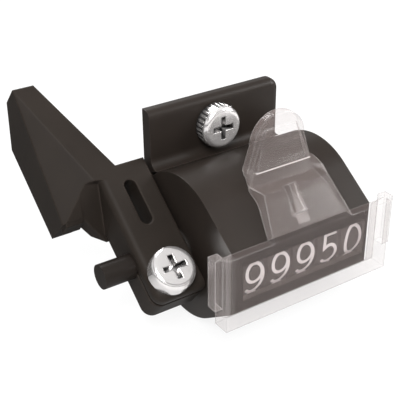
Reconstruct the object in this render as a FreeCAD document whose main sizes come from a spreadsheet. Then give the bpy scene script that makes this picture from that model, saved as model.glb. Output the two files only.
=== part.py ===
"""Operation counter: a five-wheel stroke counter with a clamped drive lever and a clear window cover.

Frame: +X to the right along the number wheels, +Y back towards the mounting panel, +Z up.
The origin is where the axis of the fixing screw leaves the flange's mounting face.
All lengths are in millimetres and all angles in degrees.
"""
import FreeCAD, Part
import math
import os
import re
import Sketcher

SIZES = {
    # Housing
    "left_x": -10.6,
    "body_length": 23.35,
    "front_y": -21.3,
    "nose_half": 4.77,
    "drum_radius": 10.6,
    "drum_y": -9.6,
    "axis_z": -12.9,
    "side_wall": 1.2,
    "rear_room_radius": 8.4,
    "flange_thickness": 1.9,
    "flange_setback": 1.05,
    "flange_top": 4.15,
    "flange_edge_round": 1.1,
    "flange_corner_round": 1.6,
    "root_round": 1.3,
    "window_left_frame": 1.9,
    "window_right_frame": 0.6,
    "window_height": 5.4,
    "window_drop": 0.5,
    # Side plate and its screws
    "plate_thickness": 0.5,
    "plate_gap": 0.1,
    "post_radius": 0.9,
    "post_y": -5.9,
    "post_offset": 6.7,
    "small_screw_radius": 0.5,
    "small_head_radius": 1.0,
    "small_head_height": 0.6,
    "small_screw_length": 4.0,
    "small_slot": 0.3,
    # Number wheels
    "wheel_radius": 8.0,
    "wheel_inset": 0.51,
    "wheel_room": 0.2,
    "wheel_gap": 0.6,
    "first_gap": 0.75,
    "end_gap": 0.1,
    "hub_radius": 1.75,
    "drive_recess": 1.4,
    "ratchet_recess": 1.83,
    "gear_recess": 1.1,
    "rim_inner": 6.8,
    "tooth_tip_inner": 5.65,
    "tooth_root_inner": 6.75,
    "tooth_half_tip": 0.3,
    "tooth_half_root": 0.55,
    "carry_tooth_length": 0.45,
    "tooth_sink": 0.2,
    # Shafts and fits
    "wheel_shaft_radius": 1.0,
    "running_gap": 0.04,
    "shaft_seat": 0.7,
    "shaft_end_gap": 0.2,
    "lever_shaft_radius": 1.5,
    "lever_shaft_stub": 4.65,
    "stub_radius": 1.75,
    "lever_y": -9.3,
    "lever_z": -13.5,
    "bush_outer": 2.2,
    "bush_flange_radius": 2.9,
    "bush_flange_thickness": 0.4,
    # Carry pinions and their carriers
    "pinion_distance": 4.2,
    "pinion_angle": 54.0,
    "pinion_tip": 2.2,
    "pinion_core": 1.3,
    "pinion_neck": 0.95,
    "pinion_half_tip": 0.22,
    "pinion_half_root": 0.42,
    "pinion_gear_length": 0.7,
    "pinion_drive_length": 0.5,
    "pinion_side_gap": 0.1,
    "carrier_thickness": 0.4,
    "carrier_radius": 3.3,
    "carrier_ear_radius": 1.7,
    "carrier_tail_width": 2.4,
    "rod_radius": 0.75,
    "rod_distance": 9.5,
    "rod_edge": 0.75,
    # Ratchet drive
    "ratchet_tip": 3.4,
    "ratchet_root": 2.6,
    "ratchet_thickness": 0.7,
    "ratchet_setback": 0.4,
    "ratchet_heel": 0.05,
    "layer_gap": 0.15,
    "rocker_thickness": 0.8,
    "rocker_half": 2.0,
    "rocker_boss": 2.3,
    "rocker_high": 3.3,
    "rocker_low": 3.9,
    "rocker_end": 0.8,
    "rocker_end_high": 1.6,
    "rocker_hole": 1.9,
    "rocker_hole_y": 0.0,
    "rocker_hole_z": -0.75,
    "pawl_pin_y": -4.7,
    "pawl_pin_z": -2.2,
    "pawl_pin_radius": 0.4,
    "pawl_eye_radius": 0.85,
    "pawl_nose_gap": 0.3,
    "pawl_half": 0.35,
    "pawl_nose_z": 0.5,
    "pawl_nose_lap": 0.1,
    "spring_leaf": 0.15,
    "detent_post_y": 2.2,
    "detent_post_z": -5.2,
    "detent_post_radius": 0.6,
    "detent_heel_y": -1.4,
    "detent_tip_y": -1.7,
    "detent_end_y": -2.1,
    "detent_heel_gap": 0.75,
    "detent_end_gap": 0.55,
    "detent_tip_rise": 0.25,
    # Lever
    "lever_angle": 38.3,
    "bar_left": -18.6,
    "bar_width": 7.4,
    "bar_half": 3.1,
    "bar_low": 6.8,
    "bar_top": 13.35,
    "bar_edge_round": 1.0,
    "bar_corner_round": 1.6,
    "slot_x": -14.85,
    "slot_width": 1.8,
    "slot_low": 3.9,
    "slot_top": 10.8,
    "split_width": 0.6,
    "split_height": 1.0,
    "clamp_x": -15.4,
    "clamp_distance": 3.5,
    "blade_left": -24.6,
    "blade_wall": 3.1,
    "blade_top": 28.2,
    "blade_low": 13.1,
    "blade_step": 11.9,
    "slope_inset": 1.2,
    "slope_low": 14.4,
    "slope_height": 0.16,
    "blade_join_x": -15.6,
    "blade_plate": 2.2,
    "blade_back_top": 28.6,
    "blade_back_high": 24.15,
    "blade_back_low": 9.4,
    "blade_rim": 8.8,
    "blade_rim_height": -0.76,
    "blade_top_depth": 3.9,
    "blade_depth": 9.95,
    "web_low": 5.5,
    "web_low_height": -4.0,
    "web_thickness": 1.7,
    "web_drop": 0.6,
    "web_inset": 0.5,
    "rim_drop": 0.4,
    "rim_reach": 4.0,
    "return_room_radius": 2.0,
    "return_room_depth": 1.15,
    "return_coil_gap": 0.02,
    "return_wire": 0.15,
    "return_pitch": 0.33,
    "return_end_gap": 0.05,
    # Screws
    "screw_radius": 1.5,
    "screw_head_radius": 3.1,
    "neck_radius": 1.2,
    "screw_head_height": 2.4,
    "screw_head_round": 0.7,
    "cross_width": 0.75,
    "cross_length": 3.4,
    "cross_depth": 1.3,
    "fixing_length": 5.0,
    "hole_gap": 0.1,
    "nut_flats_half": 2.75,
    "nut_height": 1.5,
    # Window cover
    "cover_left_reach": 1.6,
    "cover_right_reach": 2.85,
    "cover_front": 1.25,
    "cover_side": 1.22,
    "cover_bottom": 19.04,
    "cover_floor_gap": 0.15,
    "cover_back": -19.96,
    "lug_length": 1.22,
    "lug_front": -21.7,
    "lug_back": -20.1,
    "lug_bottom": -15.74,
    "tongue_centre": 1.8,
    "tongue_root_half": 6.65,
    "tongue_shoulder_half": 5.4,
    "ledge_half": 6.2,
    "ledge_back_half": 5.35,
    "ledge_back_y": -14.6,
    "tongue_thickness": 1.6,
    "tongue_rise": 0.2,
    "shoulder_y": -18.6,
    "shoulder_z": -3.1,
    "ledge_y": -16.65,
    "ledge_z": -2.75,
    "ledge_thickness": 1.1,
    "bend_y": -15.75,
    "bend_z": -1.5,
    "block_half": 4.45,
    "block_top_half": 2.6,
    "block_top_y": -14.95,
    "block_top_z": 3.9,
    "block_depth": 1.1,
    "tab_thickness": 1.1,
    "tab_half": 5.25,
    "tab_head_radius": 4.2,
    "tab_head_gap": 0.02,
    "tab_top_y": -13.6,
    "tab_top_z": 5.9,
    "rib_x": 0.8,
    "rib_radius": 1.1,
    "rib_depth": 0.4,
    "rib_start_y": -20.9,
    "rib_length": 4.0,
    "join": 0.2,
    "beyond": 1.0,
}

# Counts that are not lengths
WHEEL_NAMES = ["ten_thousands_wheel", "thousands_wheel", "hundreds_wheel", "tens_wheel", "units_wheel"]
SHOWN_DIGITS = [9, 9, 9, 5, 0]
GEAR_TEETH = 20
PINION_TEETH = 6
RATCHET_TEETH = 10
DIGITS = 10
RETURN_TURNS = 2

S = dict(SIZES)

# Places worked out from the driving sizes
S["right_x"] = S["left_x"] + S["body_length"]
S["axis_y"] = S["front_y"] + S["wheel_inset"] + S["wheel_radius"]
corner_reach = S["drum_y"] - S["front_y"]
corner_square = corner_reach ** 2 + S["nose_half"] ** 2
tangent_length = math.sqrt(corner_square - S["drum_radius"] ** 2)
along = S["drum_radius"] ** 2 / corner_square
across = S["drum_radius"] * tangent_length / corner_square
S["tangent_y"] = S["drum_y"] - along * corner_reach + across * S["nose_half"]
S["tangent_z"] = along * S["nose_half"] + across * corner_reach
S["nose_slope"] = (S["tangent_z"] - S["nose_half"]) / (S["tangent_y"] - S["front_y"])
S["root_y"] = -S["flange_thickness"] - S["root_round"]
root_reach = S["root_y"] - S["drum_y"]
root_distance = S["drum_radius"] + S["root_round"]
root_rise = math.sqrt(root_distance ** 2 - root_reach ** 2)
S["root_z"] = S["axis_z"] + root_rise
S["root_touch_y"] = S["drum_y"] + root_reach * S["drum_radius"] / root_distance
S["root_touch_z"] = S["axis_z"] + root_rise * S["drum_radius"] / root_distance
S["plate_x"] = S["right_x"] - S["plate_thickness"]
S["room_x"] = S["left_x"] + S["side_wall"]
S["first_wheel_x"] = S["room_x"] + S["first_gap"]
wheel_row = S["plate_x"] - S["end_gap"] - S["first_wheel_x"] + S["wheel_gap"]
S["wheel_pitch"] = wheel_row / len(WHEEL_NAMES)
S["wheel_width"] = S["wheel_pitch"] - S["wheel_gap"]
S["window_left"] = S["left_x"] + S["window_left_frame"]
S["window_length"] = S["body_length"] - S["window_left_frame"] - S["window_right_frame"]
S["flange_length"] = S["body_length"] - S["flange_setback"]
S["cover_left"] = S["left_x"] - S["cover_left_reach"]
S["cover_length"] = S["cover_left_reach"] + S["body_length"] + S["cover_right_reach"]
S["bar_right"] = S["bar_left"] + S["bar_width"]
S["ratchet_x"] = S["first_wheel_x"] + S["ratchet_recess"] - S["ratchet_setback"] - S["ratchet_thickness"]
S["rocker_x"] = S["ratchet_x"] - S["layer_gap"] - S["rocker_thickness"]
S["return_coil_radius"] = S["lever_shaft_radius"] + S["return_wire"] + S["return_coil_gap"]

doc = FreeCAD.newDocument("operation_counter")
sheet = doc.addObject("Spreadsheet::Sheet", "sizes")
for row, (alias, number) in enumerate(S.items(), start=1):
    sheet.set("A%d" % row, alias)
    sheet.set("B%d" % row, "%.6f" % number)
    sheet.setAlias("B%d" % row, alias)
doc.recompute()

SUB_PARTS = []


def bound(expression):
    """Turn words such as left_x into references to the sheet's cells."""
    return re.sub(r"[a-z][a-z_]*[a-z](?!\()", lambda word: "sizes." + word.group(0), str(expression))


def new_body(label):
    """Add a sub-part whose label names its file."""
    body = doc.addObject("PartDesign::Body", label)
    body.Label = label
    SUB_PARTS.append(body)
    return body


def origin_feature(body, role):
    """Find one of the body's own origin planes or axes."""
    for feature in body.Origin.OriginFeatures:
        if feature.Role == role:
            return feature
    raise ValueError(role)


def new_sketch(body, role, offset="0", name="Outline"):
    """Add a sketch on a plane of the body, moved along the plane's normal by an expression."""
    sketch = body.newObject("Sketcher::SketchObject", name)
    sketch.AttachmentSupport = [(origin_feature(body, role), "")]
    sketch.MapMode = "FlatFace"
    sketch.setExpression("AttachmentOffset.Base.z", bound(offset))
    return sketch


def pin_point(sketch, geometry, point, across_expression, up_expression):
    """Hold a point of the sketch at two bound distances from the sketch's origin."""
    for kind, expression in (("DistanceX", across_expression), ("DistanceY", up_expression)):
        index = sketch.addConstraint(Sketcher.Constraint(kind, -1, 1, geometry, point, 1.0))
        sketch.setExpression("Constraints[%d]" % index, bound(expression))


def add_polygon(sketch, points):
    """Draw a closed polygon whose corners are pairs of expressions."""
    count = len(points)
    first = sketch.GeometryCount
    for i in range(count):
        a = 2 * math.pi * i / count
        b = 2 * math.pi * (i + 1) / count
        start = FreeCAD.Vector(math.cos(a), math.sin(a), 0)
        end = FreeCAD.Vector(math.cos(b), math.sin(b), 0)
        sketch.addGeometry(Part.LineSegment(start, end), False)
    for i in range(count):
        sketch.addConstraint(Sketcher.Constraint("Coincident", first + i, 2, first + (i + 1) % count, 1))
    for i, (across_expression, up_expression) in enumerate(points):
        pin_point(sketch, first + i, 1, across_expression, up_expression)


def add_circle(sketch, across_expression, up_expression, radius):
    """Draw a circle with a bound centre and radius."""
    circle = Part.Circle(FreeCAD.Vector(0, 0, 0), FreeCAD.Vector(0, 0, 1), 1.0)
    geometry = sketch.addGeometry(circle, False)
    pin_point(sketch, geometry, 3, across_expression, up_expression)
    index = sketch.addConstraint(Sketcher.Constraint("Radius", geometry, 1.0))
    sketch.setExpression("Constraints[%d]" % index, bound(radius))


def add_pad(body, sketch, length, name="Pad"):
    """Extrude a sketch along its normal by a bound length."""
    pad = body.newObject("PartDesign::Pad", name)
    pad.Profile = sketch
    pad.setExpression("Length", bound(length))
    doc.recompute()
    return pad


def add_pocket(body, sketch, length, name="Pocket"):
    """Cut a sketch into the body along the sketch's normal and make sure that it removed something."""
    before = body.Shape.Volume
    pocket = body.newObject("PartDesign::Pocket", name)
    pocket.Profile = sketch
    pocket.Reversed = True
    pocket.setExpression("Length", bound(length))
    doc.recompute()
    if not body.Shape.Volume < before - 1e-6:
        raise RuntimeError("%s of %s cut nothing" % (name, body.Label))
    return pocket


def pad_polygon(body, role, offset, points, length, name):
    """Pad one polygon."""
    sketch = new_sketch(body, role, offset, name + "_outline")
    add_polygon(sketch, points)
    return add_pad(body, sketch, length, name)


def pad_circles(body, role, offset, circles, length, name):
    """Pad one circle, or the ring between two."""
    sketch = new_sketch(body, role, offset, name + "_outline")
    for circle in circles:
        add_circle(sketch, *circle)
    return add_pad(body, sketch, length, name)


def cut_polygon(body, role, offset, points, length, name):
    """Pocket one polygon."""
    sketch = new_sketch(body, role, offset, name + "_outline")
    add_polygon(sketch, points)
    return add_pocket(body, sketch, length, name)


def cut_circles(body, role, offset, circles, length, name):
    """Pocket one circle, or the ring between two."""
    sketch = new_sketch(body, role, offset, name + "_outline")
    for circle in circles:
        add_circle(sketch, *circle)
    return add_pocket(body, sketch, length, name)


def repeat_round_x(body, feature, count, name="Pattern"):
    """Repeat a feature evenly about the body's own X axis."""
    pattern = body.newObject("PartDesign::PolarPattern", name)
    pattern.Originals = [feature]
    pattern.Axis = (origin_feature(body, "X_Axis"), [""])
    pattern.Angle = 360
    pattern.Occurrences = count
    body.Tip = pattern
    doc.recompute()
    return pattern


def round_edges(body, radius, chosen, name="Round"):
    """Fillet the edges of the body's tip that the test picks."""
    tip = body.Tip
    names = ["Edge%d" % (i + 1) for i, edge in enumerate(tip.Shape.Edges) if chosen(edge)]
    if not names:
        raise RuntimeError("%s of %s found no edge" % (name, body.Label))
    fillet = body.newObject("PartDesign::Fillet", name)
    fillet.Base = (tip, names)
    fillet.setExpression("Radius", bound(radius))
    doc.recompute()
    return fillet


def place(body, x="0", y="0", z="0", turn=0.0, angle=None):
    """Put a body in the part's frame, turned about X by a number or a bound angle."""
    body.Placement = FreeCAD.Placement(FreeCAD.Vector(0, 0, 0), FreeCAD.Rotation(FreeCAD.Vector(1, 0, 0), turn or 1.0))
    if angle is None:
        body.Placement.Rotation = FreeCAD.Rotation(FreeCAD.Vector(1, 0, 0), turn)
    else:
        body.setExpression("Placement.Rotation.Angle", bound(angle))
    body.setExpression("Placement.Base.x", bound(x))
    body.setExpression("Placement.Base.y", bound(y))
    body.setExpression("Placement.Base.z", bound(z))


def near(value, target, tolerance=0.02):
    """Tell whether two lengths agree."""
    return abs(value - target) < tolerance


def middle(edge):
    """The middle of an edge's box."""
    return edge.BoundBox.Center


def make_housing():
    """One moulding: drum and nose, flange, inner room open to the right, window and bearing holes."""
    body = new_body("housing")
    flange = [
        ("-flange_thickness", "axis_z"),
        ("0", "axis_z"),
        ("0", "flange_top"),
        ("-flange_thickness", "flange_top"),
    ]
    pad_polygon(body, "YZ_Plane", "left_x", flange, "flange_length", "Flange")
    round_edges(body, "flange_corner_round", lambda e: near(middle(e).x, S["left_x"] + S["flange_length"])
                and near(middle(e).z, S["flange_top"]) and near(e.BoundBox.YLength, S["flange_thickness"]),
                "FlangeCorner")
    round_edges(body, "flange_edge_round", lambda e: near(middle(e).y, -S["flange_thickness"])
                and near(middle(e).z, S["flange_top"]) and e.BoundBox.XLength > 1, "FlangeEdge")
    nose = [
        ("front_y", "axis_z - nose_half"),
        ("tangent_y", "axis_z - tangent_z"),
        ("tangent_y", "axis_z + tangent_z"),
        ("front_y", "axis_z + nose_half"),
    ]
    pad_polygon(body, "YZ_Plane", "left_x", nose, "body_length", "Nose")
    pad_circles(body, "YZ_Plane", "left_x", [("drum_y", "axis_z", "drum_radius")], "body_length", "Drum")
    root = [
        ("root_touch_y", "root_touch_z"),
        ("root_y", "root_z"),
        ("-flange_thickness", "root_z"),
        ("-flange_thickness / 2", "root_touch_z - root_round"),
    ]
    pad_polygon(body, "YZ_Plane", "left_x", root, "flange_length - flange_edge_round", "Root")
    cut_circles(body, "YZ_Plane", "left_x", [("root_y", "root_z", "root_round")],
                "flange_length", "RootRound")
    behind = [
        ("0", "axis_z - drum_radius"),
        ("2 * drum_radius", "axis_z - drum_radius"),
        ("2 * drum_radius", "2 * flange_top"),
        ("0", "2 * flange_top"),
    ]
    cut_polygon(body, "YZ_Plane", "left_x", behind, "body_length", "MountingFace")
    cut_circles(body, "YZ_Plane", "room_x", [("drum_y", "axis_z", "rear_room_radius")],
                "body_length", "RearRoom")
    cut_circles(body, "YZ_Plane", "room_x", [("axis_y", "axis_z", "wheel_radius + wheel_room")],
                "body_length", "WheelRoom")
    window = [
        ("window_left", "axis_z - window_drop - window_height / 2"),
        ("window_left + window_length", "axis_z - window_drop - window_height / 2"),
        ("window_left + window_length", "axis_z - window_drop + window_height / 2"),
        ("window_left", "axis_z - window_drop + window_height / 2"),
    ]
    cut_polygon(body, "XZ_Plane", "-axis_y", window, "wheel_radius + nose_half", "Window")
    for side, sign in (("Upper", "+"), ("Lower", "-")):
        centre = ("post_y", "axis_z %s post_offset" % sign)
        pad_circles(body, "YZ_Plane", "room_x", [centre + ("post_radius",)],
                    "plate_x - room_x", side + "Post")
        cut_circles(body, "YZ_Plane", "plate_x - small_screw_length", [centre + ("small_screw_radius",)],
                    "body_length", side + "PostHole")
    cut_circles(body, "YZ_Plane", "room_x - shaft_seat",
                [("axis_y", "axis_z", "wheel_shaft_radius + running_gap")], "side_wall", "ShaftSeat")
    cut_circles(body, "YZ_Plane", "room_x - shaft_seat",
                [("axis_y + rod_distance", "axis_z", "rod_radius")], "side_wall", "RodSeat")
    cut_circles(body, "YZ_Plane", "left_x", [("lever_y", "lever_z", "bush_outer")], "2 * side_wall", "BushHole")
    cut_circles(body, "XZ_Plane", "-drum_radius", [("0", "0", "screw_radius + hole_gap")],
                "2 * drum_radius", "FixingHole")
    return body


def make_side_plate():
    """The plug that closes the housing's right end and carries the shafts there."""
    body = new_body("side_plate")
    pad_circles(body, "YZ_Plane", "plate_x", [("drum_y", "axis_z", "rear_room_radius - plate_gap")],
                "plate_thickness", "Rear")
    pad_circles(body, "YZ_Plane", "plate_x", [("axis_y", "axis_z", "wheel_radius + wheel_room - plate_gap")],
                "plate_thickness", "Front")
    cut_circles(body, "YZ_Plane", "plate_x", [("axis_y", "axis_z", "wheel_shaft_radius + running_gap")],
                "plate_thickness", "ShaftHole")
    cut_circles(body, "YZ_Plane", "plate_x", [("axis_y + rod_distance", "axis_z", "rod_radius")],
                "plate_thickness", "RodHole")
    for side, sign in (("Upper", "+"), ("Lower", "-")):
        cut_circles(body, "YZ_Plane", "plate_x",
                    [("post_y", "axis_z %s post_offset" % sign, "small_screw_radius + hole_gap")],
                    "plate_thickness", side + "Hole")
    return body


def make_plate_screw(label, sign):
    """A small slotted screw that holds the side plate to a post."""
    body = new_body(label)
    centre = ("post_y", "axis_z %s post_offset" % sign)
    pad_circles(body, "YZ_Plane", "plate_x - small_screw_length", [centre + ("small_screw_radius",)],
                "small_screw_length + plate_thickness", "Shank")
    pad_circles(body, "YZ_Plane", "right_x", [centre + ("small_head_radius",)], "small_head_height", "Head")
    slot = [
        ("post_y - 2 * small_head_radius", "axis_z %s post_offset - small_slot / 2" % sign),
        ("post_y + 2 * small_head_radius", "axis_z %s post_offset - small_slot / 2" % sign),
        ("post_y + 2 * small_head_radius", "axis_z %s post_offset + small_slot / 2" % sign),
        ("post_y - 2 * small_head_radius", "axis_z %s post_offset + small_slot / 2" % sign),
    ]
    cut_polygon(body, "YZ_Plane", "right_x + small_head_height / 2", slot, "small_head_height", "Slot")
    return body


def make_wheel(label, place_index, digit):
    """A number wheel: rim, web and hub, inner gear on its right and a two-tooth carry driver on its left."""
    body = new_body(label)
    leftmost = place_index == 0
    units = place_index == len(WHEEL_NAMES) - 1
    recess = "ratchet_recess" if leftmost else "drive_recess"
    bore = "wheel_shaft_radius" if units else "wheel_shaft_radius + running_gap"
    pad_circles(body, "YZ_Plane", "0", [("0", "0", "wheel_radius"), ("0", "0", bore)], "wheel_width", "Disc")
    left_circles = [("0", "0", "rim_inner"), ("0", "0", "hub_radius")]
    if leftmost:
        left_circles = left_circles[:1]
    cut_circles(body, "YZ_Plane", "0", left_circles, recess, "LeftRecess")
    if units:
        cut_circles(body, "YZ_Plane", "wheel_width - gear_recess",
                    [("0", "0", "rim_inner"), ("0", "0", "hub_radius")], "gear_recess", "RightRecess")
    else:
        cut_circles(body, "YZ_Plane", "wheel_width - gear_recess",
                    [("0", "0", "tooth_root_inner"), ("0", "0", "hub_radius")], "gear_recess", "RightRecess")
        tooth = [
            ("tooth_tip_inner", "-tooth_half_tip"),
            ("tooth_root_inner + tooth_sink", "-tooth_half_root"),
            ("tooth_root_inner + tooth_sink", "tooth_half_root"),
            ("tooth_tip_inner", "tooth_half_tip"),
        ]
        gear = pad_polygon(body, "YZ_Plane", "wheel_width - gear_recess", tooth, "gear_recess", "GearTooth")
        repeat_round_x(body, gear, GEAR_TEETH, "InnerGear")
    if not leftmost:
        driver = [
            ("tooth_tip_inner", "-tooth_half_tip"),
            ("rim_inner + tooth_sink", "-tooth_half_root"),
            ("rim_inner + tooth_sink", "tooth_half_root"),
            ("tooth_tip_inner", "tooth_half_tip"),
        ]
        first = pad_polygon(body, "YZ_Plane", "drive_recess - carry_tooth_length", driver,
                            "carry_tooth_length", "CarryTooth")
        pair = body.newObject("PartDesign::PolarPattern", "CarryPair")
        pair.Originals = [first]
        pair.Axis = (origin_feature(body, "X_Axis"), [""])
        pair.Angle = 360 / GEAR_TEETH
        pair.Occurrences = 2
        body.Tip = pair
        doc.recompute()
    half_gap = 180 / GEAR_TEETH
    place(body, "first_wheel_x + %d * wheel_pitch" % place_index, "axis_y", "axis_z",
          turn=half_gap + digit * 360 / DIGITS)
    return body


def make_pinion(label, boundary):
    """A carry pinion on the boundary between two wheels, with a neck that turns in its carrier."""
    body = new_body(label)
    neck = "carrier_thickness / 2 + pinion_side_gap"
    pad_circles(body, "YZ_Plane", "-(%s)" % neck, [("0", "0", "pinion_neck")], "2 * (%s)" % neck, "Neck")
    sides = (("Gear", "-(%s) - pinion_gear_length" % neck, "pinion_gear_length"),
             ("Drive", neck, "pinion_drive_length"))
    for side, start, length in sides:
        pad_circles(body, "YZ_Plane", start, [("0", "0", "pinion_core")], length, side + "Core")
        tooth = [
            ("pinion_core - tooth_sink", "-pinion_half_root"),
            ("pinion_tip", "-pinion_half_tip"),
            ("pinion_tip", "pinion_half_tip"),
            ("pinion_core - tooth_sink", "pinion_half_root"),
        ]
        feature = pad_polygon(body, "YZ_Plane", start, tooth, length, side + "Tooth")
        repeat_round_x(body, feature, PINION_TEETH, side + "Teeth")
    angle = math.radians(S["pinion_angle"])
    place(body, "first_wheel_x + %d * wheel_pitch - (wheel_pitch - wheel_width) / 2" % boundary,
          "axis_y + pinion_distance * %.6f" % math.cos(angle),
          "axis_z + pinion_distance * %.6f" % math.sin(angle), turn=S["pinion_angle"])
    return body


def make_carrier(label, boundary):
    """A fixed plate between two wheels: bore for the shaft, open eye for the pinion, tail on the rod."""
    body = new_body(label)
    angle = math.radians(S["pinion_angle"])
    eye = ("pinion_distance * %.6f" % math.cos(angle), "pinion_distance * %.6f" % math.sin(angle))
    pad_circles(body, "YZ_Plane", "-carrier_thickness / 2", [("0", "0", "carrier_radius")],
                "carrier_thickness", "Disc")
    pad_circles(body, "YZ_Plane", "-carrier_thickness / 2", [eye + ("carrier_ear_radius",)],
                "carrier_thickness", "Ear")
    tail = [
        ("0", "-carrier_tail_width / 2"),
        ("rod_distance + rod_radius + rod_edge", "-carrier_tail_width / 2"),
        ("rod_distance + rod_radius + rod_edge", "carrier_tail_width / 2"),
        ("0", "carrier_tail_width / 2"),
    ]
    pad_polygon(body, "YZ_Plane", "-carrier_thickness / 2", tail, "carrier_thickness", "Tail")
    cut_circles(body, "YZ_Plane", "-carrier_thickness / 2",
                [("0", "0", "wheel_shaft_radius + running_gap")], "carrier_thickness", "Bore")
    cut_circles(body, "YZ_Plane", "-carrier_thickness / 2", [eye + ("pinion_neck + running_gap",)],
                "carrier_thickness", "Eye")
    cut_circles(body, "YZ_Plane", "-carrier_thickness / 2", [("rod_distance", "0", "rod_radius")],
                "carrier_thickness", "RodHole")
    place(body, "first_wheel_x + %d * wheel_pitch - (wheel_pitch - wheel_width) / 2" % boundary,
          "axis_y", "axis_z")
    return body


def make_round_bar(label, start, y, z, radius, length):
    """A plain round shaft or rod along X."""
    body = new_body(label)
    pad_circles(body, "YZ_Plane", start, [(y, z, radius)], length, "Round")
    return body


def make_bush():
    """The flanged bush in the housing's left wall in which the lever shaft turns."""
    body = new_body("shaft_bush")
    bore = "lever_shaft_radius + running_gap"
    pad_circles(body, "YZ_Plane", "left_x", [("lever_y", "lever_z", "bush_outer"), ("lever_y", "lever_z", bore)],
                "side_wall", "Sleeve")
    pad_circles(body, "YZ_Plane", "left_x - bush_flange_thickness",
                [("lever_y", "lever_z", "bush_flange_radius"), ("lever_y", "lever_z", bore)],
                "bush_flange_thickness", "Flange")
    return body


def make_ratchet():
    """The ten-tooth ratchet wheel on the wheel shaft."""
    body = new_body("ratchet_wheel")
    pad_circles(body, "YZ_Plane", "0", [("0", "0", "ratchet_root"), ("0", "0", "wheel_shaft_radius")],
                "ratchet_thickness", "Disc")
    step = math.radians(360 / RATCHET_TEETH)
    heel = "(ratchet_root - ratchet_heel)"
    root = "(ratchet_root - tooth_sink)"
    tooth = [
        ("ratchet_root - tooth_sink", "0"),
        ("ratchet_tip", "0"),
        (heel + " * %.6f" % math.cos(step), heel + " * %.6f" % math.sin(step)),
        (root + " * %.6f" % math.cos(step), root + " * %.6f" % math.sin(step)),
    ]
    feature = pad_polygon(body, "YZ_Plane", "0", tooth, "ratchet_thickness", "Tooth")
    repeat_round_x(body, feature, RATCHET_TEETH, "Teeth")
    place(body, "ratchet_x", "axis_y", "axis_z")
    return body


def make_rocker():
    """The plate on the inner end of the lever shaft that carries the drive pawl round the wheel shaft."""
    body = new_body("rocker_plate")
    pad_circles(body, "YZ_Plane", "rocker_x", [("lever_y", "lever_z", "rocker_boss")],
                "rocker_thickness", "Boss")
    arm = [
        ("lever_y", "lever_z - rocker_half"),
        ("lever_y", "lever_z + rocker_boss"),
        ("axis_y", "axis_z + rocker_high"),
        ("axis_y + pawl_pin_y - rocker_end", "axis_z + pawl_pin_z + rocker_end_high"),
        ("axis_y + pawl_pin_y - rocker_end", "axis_z + pawl_pin_z - rocker_end"),
        ("axis_y", "axis_z - rocker_low"),
    ]
    pad_polygon(body, "YZ_Plane", "rocker_x", arm, "rocker_thickness", "Arm")
    cut_circles(body, "YZ_Plane", "rocker_x", [("axis_y + rocker_hole_y", "axis_z + rocker_hole_z", "rocker_hole")],
                "rocker_thickness", "Clearance")
    cut_circles(body, "YZ_Plane", "rocker_x", [("lever_y", "lever_z", "lever_shaft_radius")],
                "rocker_thickness", "ShaftHole")
    cut_circles(body, "YZ_Plane", "rocker_x",
                [("axis_y + pawl_pin_y", "axis_z + pawl_pin_z", "pawl_pin_radius")],
                "rocker_thickness", "PinHole")
    return body


def make_pawl():
    """The drive pawl: an eye on its pin and a nose that ends just clear of the ratchet teeth."""
    body = new_body("drive_pawl")
    eye = ("axis_y + pawl_pin_y", "axis_z + pawl_pin_z")
    pad_circles(body, "YZ_Plane", "ratchet_x", [eye + ("pawl_eye_radius",)], "ratchet_thickness", "Eye")
    nose = [
        ("axis_y + pawl_pin_y - 2 * pawl_half", "axis_z + pawl_pin_z"),
        ("axis_y + pawl_pin_y + pawl_half", "axis_z + pawl_pin_z"),
        ("axis_y - ratchet_tip - pawl_nose_gap + pawl_nose_lap", "axis_z + pawl_nose_z"),
        ("axis_y - ratchet_tip - pawl_nose_gap - 2 * pawl_half", "axis_z + pawl_nose_z"),
    ]
    pad_polygon(body, "YZ_Plane", "ratchet_x", nose, "ratchet_thickness", "Nose")
    cut_circles(body, "YZ_Plane", "ratchet_x", [eye + ("pawl_pin_radius + running_gap",)],
                "ratchet_thickness", "Hole")
    return body


def make_screw(label, length, tip_cut=None):
    """A pan-head screw with a cross recess, built with its head's base at z = 0 and its shank down -Z."""
    body = new_body(label)
    pad_circles(body, "XY_Plane", "-(%s)" % length, [("0", "0", "screw_radius")], length, "Shank")
    pad_circles(body, "XY_Plane", "0", [("0", "0", "screw_head_radius")], "screw_head_height", "Head")
    round_edges(body, "screw_head_round", lambda e: near(middle(e).z, S["screw_head_height"])
                and near(e.BoundBox.ZLength, 0), "HeadRound")
    for name, wide, tall in (("CrossA", "cross_length", "cross_width"), ("CrossB", "cross_width", "cross_length")):
        arm = [
            ("-%s / 2" % wide, "-%s / 2" % tall),
            ("%s / 2" % wide, "-%s / 2" % tall),
            ("%s / 2" % wide, "%s / 2" % tall),
            ("-%s / 2" % wide, "%s / 2" % tall),
        ]
        cut_polygon(body, "XY_Plane", "screw_head_height - cross_depth", arm, "cross_depth", name)
    return body


def make_fixing_screw():
    """The screw through the flange; it stands out behind the mounting face."""
    body = make_screw("fixing_screw", "fixing_length + flange_thickness")
    cut_circles(body, "XY_Plane", "-flange_thickness", [("0", "0", "screw_radius + beyond"), ("0", "0", "neck_radius")],
                "flange_thickness", "Neck")
    body.Placement = FreeCAD.Placement(FreeCAD.Vector(0, 0, 0), FreeCAD.Rotation(FreeCAD.Vector(1, 0, 0), 90))
    body.setExpression("Placement.Base.y", bound("-flange_thickness"))
    return body


def lever_point(along_bar, height):
    """Y and Z expressions of a point in the lever's own frame."""
    cosine = math.cos(math.radians(S["lever_angle"]))
    sine = math.sin(math.radians(S["lever_angle"]))
    y = "lever_y + (%s) * %.6f - (%s) * %.6f" % (along_bar, cosine, height, sine)
    z = "lever_z + (%s) * %.6f + (%s) * %.6f" % (along_bar, sine, height, cosine)
    return y, z


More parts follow.
